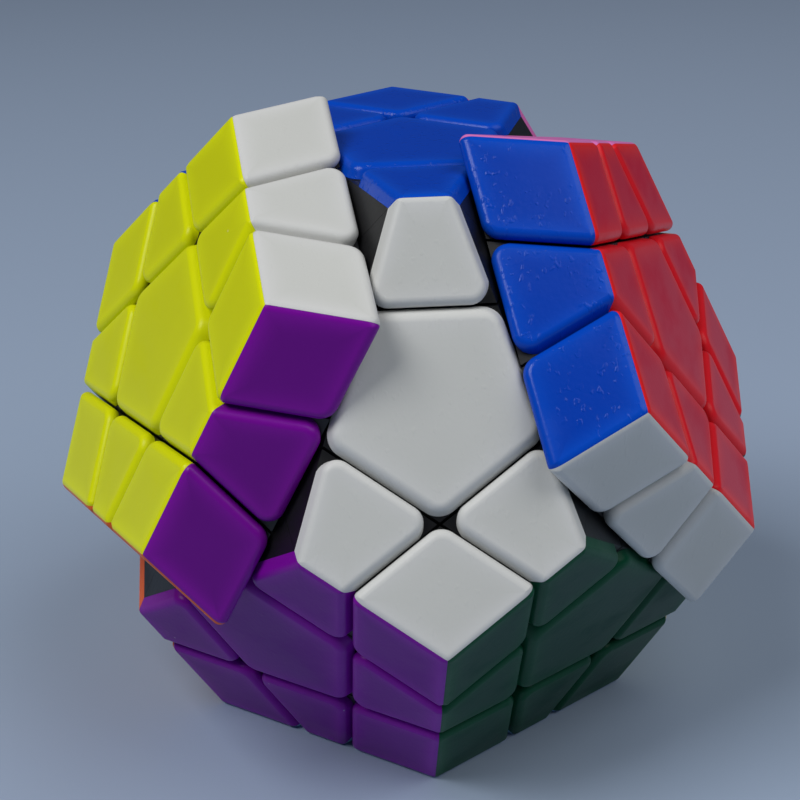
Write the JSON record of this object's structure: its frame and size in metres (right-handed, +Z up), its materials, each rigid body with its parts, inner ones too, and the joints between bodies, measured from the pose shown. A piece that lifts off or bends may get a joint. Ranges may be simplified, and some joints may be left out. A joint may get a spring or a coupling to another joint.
{
  "type": "dodecahedron twisty puzzle",
  "caption": "Twelve-faced twisty puzzle: coloured tiles on a black mechanism of centre, edge and corner pieces whose face layers turn about a ball core.",
  "frame": {"origin": "centre of the light blue face that the puzzle stands on", "axes": "+Z up through the middle of the puzzle and the blue face, -Y to the front, where the white face leans back, +X to the right, where the red layer is"},
  "size_m": [0.091, 0.0908, 0.079],
  "materials": {
    "black_plastic": "satin black moulded plastic with a fine texture",
    "core_plastic": "plain moulded plastic",
    "screw_steel": "zinc plated",
    "washer_steel": "plain steel",
    "spring_steel": "drawn spring wire",
    "blue_plastic": "blue moulded plastic, low gloss with a fine orange-peel texture",
    "white_plastic": "white moulded plastic, low gloss with a fine orange-peel texture",
    "red_plastic": "red moulded plastic, low gloss with a fine orange-peel texture",
    "pink_plastic": "pink moulded plastic, low gloss with a fine orange-peel texture",
    "lime_plastic": "lime moulded plastic, low gloss with a fine orange-peel texture",
    "yellow_plastic": "yellow moulded plastic, low gloss with a fine orange-peel texture",
    "purple_plastic": "purple moulded plastic, low gloss with a fine orange-peel texture",
    "green_plastic": "green moulded plastic, low gloss with a fine orange-peel texture",
    "cream_plastic": "cream moulded plastic, low gloss with a fine orange-peel texture",
    "grey_plastic": "grey moulded plastic, low gloss with a fine orange-peel texture",
    "orange_plastic": "orange moulded plastic, low gloss with a fine orange-peel texture",
    "sky_plastic": "light blue moulded plastic, low gloss with a fine orange-peel texture"
  },
  "bodies": {
    "core_body": {"core": "core_plastic", "tension_screws": "screw_steel", "spring_washers": "washer_steel", "tension_springs": "spring_steel", "fixed_hubs": "black_plastic", "fixed_edges": "black_plastic", "fixed_corners": "black_plastic", "blue_centre_cap": "blue_plastic", "white_centre_cap": "white_plastic", "pink_centre_cap": "pink_plastic", "lime_centre_cap": "lime_plastic", "purple_centre_cap": "purple_plastic", "green_centre_cap": "green_plastic", "cream_centre_cap": "cream_plastic", "grey_centre_cap": "grey_plastic", "orange_centre_cap": "orange_plastic", "blue_tiles_fixed": "blue_plastic", "white_tiles_fixed": "white_plastic", "pink_tiles_fixed": "pink_plastic", "lime_tiles_fixed": "lime_plastic", "purple_tiles_fixed": "purple_plastic", "green_tiles_fixed": "green_plastic", "cream_tiles_fixed": "cream_plastic", "grey_tiles_fixed": "grey_plastic", "orange_tiles_fixed": "orange_plastic"},
    "yellow_layer": {"yellow_layer_hub": "black_plastic", "yellow_layer_edges": "black_plastic", "yellow_layer_corners": "black_plastic", "yellow_centre_cap": "yellow_plastic", "blue_tiles_yellow_layer": "blue_plastic", "white_tiles_yellow_layer": "white_plastic", "lime_tiles_yellow_layer": "lime_plastic", "yellow_tiles_yellow_layer": "yellow_plastic", "purple_tiles_yellow_layer": "purple_plastic", "orange_tiles_yellow_layer": "orange_plastic"},
    "red_layer": {"red_layer_hub": "black_plastic", "red_layer_edges": "black_plastic", "red_layer_corners": "black_plastic", "red_centre_cap": "red_plastic", "blue_tiles_red_layer": "blue_plastic", "white_tiles_red_layer": "white_plastic", "red_tiles_red_layer": "red_plastic", "pink_tiles_red_layer": "pink_plastic", "green_tiles_red_layer": "green_plastic", "cream_tiles_red_layer": "cream_plastic"},
    "base_layer": {"base_layer_hub": "black_plastic", "base_layer_edges": "black_plastic", "base_layer_corners": "black_plastic", "sky_centre_cap": "sky_plastic", "purple_tiles_base_layer": "purple_plastic", "green_tiles_base_layer": "green_plastic", "cream_tiles_base_layer": "cream_plastic", "grey_tiles_base_layer": "grey_plastic", "orange_tiles_base_layer": "orange_plastic", "sky_tiles_base_layer": "sky_plastic"}
  },
  "joints": [
    {"name": "yellow_turn", "type": "hinge", "parent": "core_body", "child": "yellow_layer", "pos_m": [0, 0, 0.03675], "axis": [-0.8507, -0.2764, 0.4472], "continuous": true},
    {"name": "red_turn", "type": "hinge", "parent": "core_body", "child": "red_layer", "pos_m": [0, 0, 0.03675], "axis": [0.8507, -0.2764, 0.4472], "continuous": true},
    {"name": "base_turn", "type": "hinge", "parent": "core_body", "child": "base_layer", "pos_m": [0, 0, 0.03675], "axis": [0, 0, -1], "continuous": true}
  ]
}
